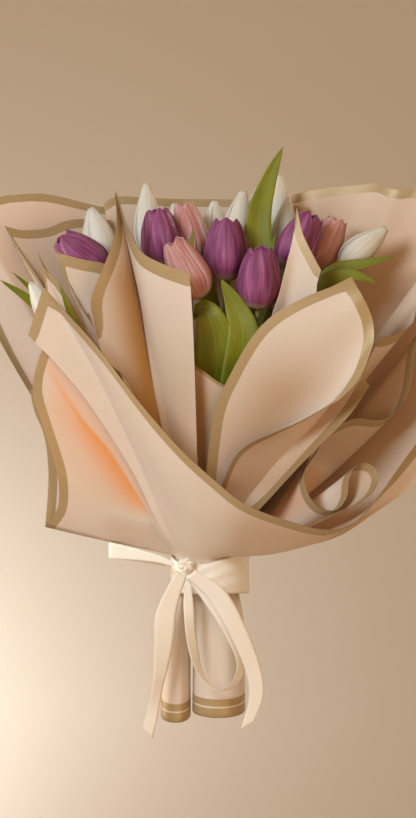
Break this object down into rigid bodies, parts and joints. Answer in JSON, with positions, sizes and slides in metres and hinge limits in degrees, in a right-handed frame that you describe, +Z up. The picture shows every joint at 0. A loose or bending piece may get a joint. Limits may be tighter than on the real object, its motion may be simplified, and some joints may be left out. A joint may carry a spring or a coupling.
{
  "type": "hand-tied tulip bouquet",
  "caption": "Hand-tied tulip bouquet in layered gold-bordered paper, bound with a satin ribbon bow, with two paper sleeves round the stems as a handle.",
  "frame": {"origin": "centre of the ribbon-bound waist, on the axis of the stem bundle, where a hand or a vase neck holds it", "axes": "+Z up along the stems towards the blooms, -Y towards the front with the ribbon knot, +X to the viewer's right"},
  "size_m": [0.4853, 0.2227, 0.5902],
  "materials": {
    "petal_purple": "satin",
    "petal_pink": "satin",
    "petal_white": "satin",
    "stem_and_leaf": "satin",
    "wrap_film": "matte",
    "satin_ribbon": "satin",
    "twine": "matte",
    "foil": "satin"
  },
  "bodies": {
    "root": {"bloom_purple_left": "petal_purple", "bloom_purple_mid_left": "petal_purple", "bloom_purple_centre": "petal_purple", "bloom_purple_front": "petal_purple", "bloom_purple_right": "petal_purple", "bloom_pink_back": "petal_pink", "bloom_pink_front": "petal_pink", "bloom_pink_right": "petal_pink", "bloom_white_far_left": "petal_white", "bloom_white_left_low": "petal_white", "bloom_white_tall_left": "petal_white", "bloom_white_behind_pink": "petal_white", "bloom_white_back_centre": "petal_white", "bloom_white_centre_right": "petal_white", "bloom_white_behind_leaf": "petal_white", "bloom_white_tall_right": "petal_white", "bloom_white_right": "petal_white", "bloom_white_far_right": "petal_white", "stem_purple_left": "stem_and_leaf", "stem_purple_mid_left": "stem_and_leaf", "stem_purple_centre": "stem_and_leaf", "stem_purple_front": "stem_and_leaf", "stem_purple_right": "stem_and_leaf", "stem_pink_back": "stem_and_leaf", "stem_pink_front": "stem_and_leaf", "stem_pink_right": "stem_and_leaf", "stem_white_far_left": "stem_and_leaf", "stem_white_left_low": "stem_and_leaf", "stem_white_tall_left": "stem_and_leaf", "stem_white_behind_pink": "stem_and_leaf", "stem_white_back_centre": "stem_and_leaf", "stem_white_centre_right": "stem_and_leaf", "stem_white_behind_leaf": "stem_and_leaf", "stem_white_tall_right": "stem_and_leaf", "stem_white_right": "stem_and_leaf", "stem_white_far_right": "stem_and_leaf", "wrap_back_left": "wrap_film", "wrap_back_centre": "wrap_film", "wrap_back_right": "wrap_film", "wrap_left_liner": "wrap_film", "wrap_left_flap": "wrap_film", "wrap_roll": "wrap_film", "wrap_inner_liner": "wrap_film", "wrap_right_leaf": "wrap_film", "wrap_right_fold": "wrap_film", "wrap_right_cone": "wrap_film", "wrap_right_ruffle": "wrap_film", "wrap_right_liner": "wrap_film", "wrap_left_wing": "wrap_film", "wrap_front": "wrap_film", "stem_sleeve_left": "wrap_film", "stem_sleeve_right": "wrap_film", "ribbon_band": "satin_ribbon", "ribbon_knot": "satin_ribbon", "binding_twine": "twine", "stem_water_wrap": "foil"},
    "loop_side": {"ribbon_loop_side": "satin_ribbon"},
    "loop_hanging": {"ribbon_loop_hanging": "satin_ribbon"},
    "tail_left": {"ribbon_tail_left": "satin_ribbon"},
    "tail_right": {"ribbon_tail_right": "satin_ribbon"}
  },
  "joints": [
    {"name": "loop_side_swing", "type": "hinge", "parent": "root", "child": "loop_side", "pos_m": [-0.033, -0.041, 0.008], "axis": [0, 0, 1], "range_deg": [0, 50]},
    {"name": "loop_hanging_swing", "type": "hinge", "parent": "root", "child": "loop_hanging", "pos_m": [-0.024, -0.046, 0], "axis": [-1, 0, 0], "range_deg": [0, 60]},
    {"name": "tail_left_swing", "type": "hinge", "parent": "root", "child": "tail_left", "pos_m": [-0.024, -0.046, 0], "axis": [-1, 0, 0], "range_deg": [0, 60]},
    {"name": "tail_right_swing", "type": "hinge", "parent": "root", "child": "tail_right", "pos_m": [-0.024, -0.046, 0], "axis": [-1, 0, 0], "range_deg": [0, 60]}
  ],
  "couplings": [
    {"joint": "tail_right_swing", "follows": "loop_hanging_swing", "ratio": 1}
  ]
}
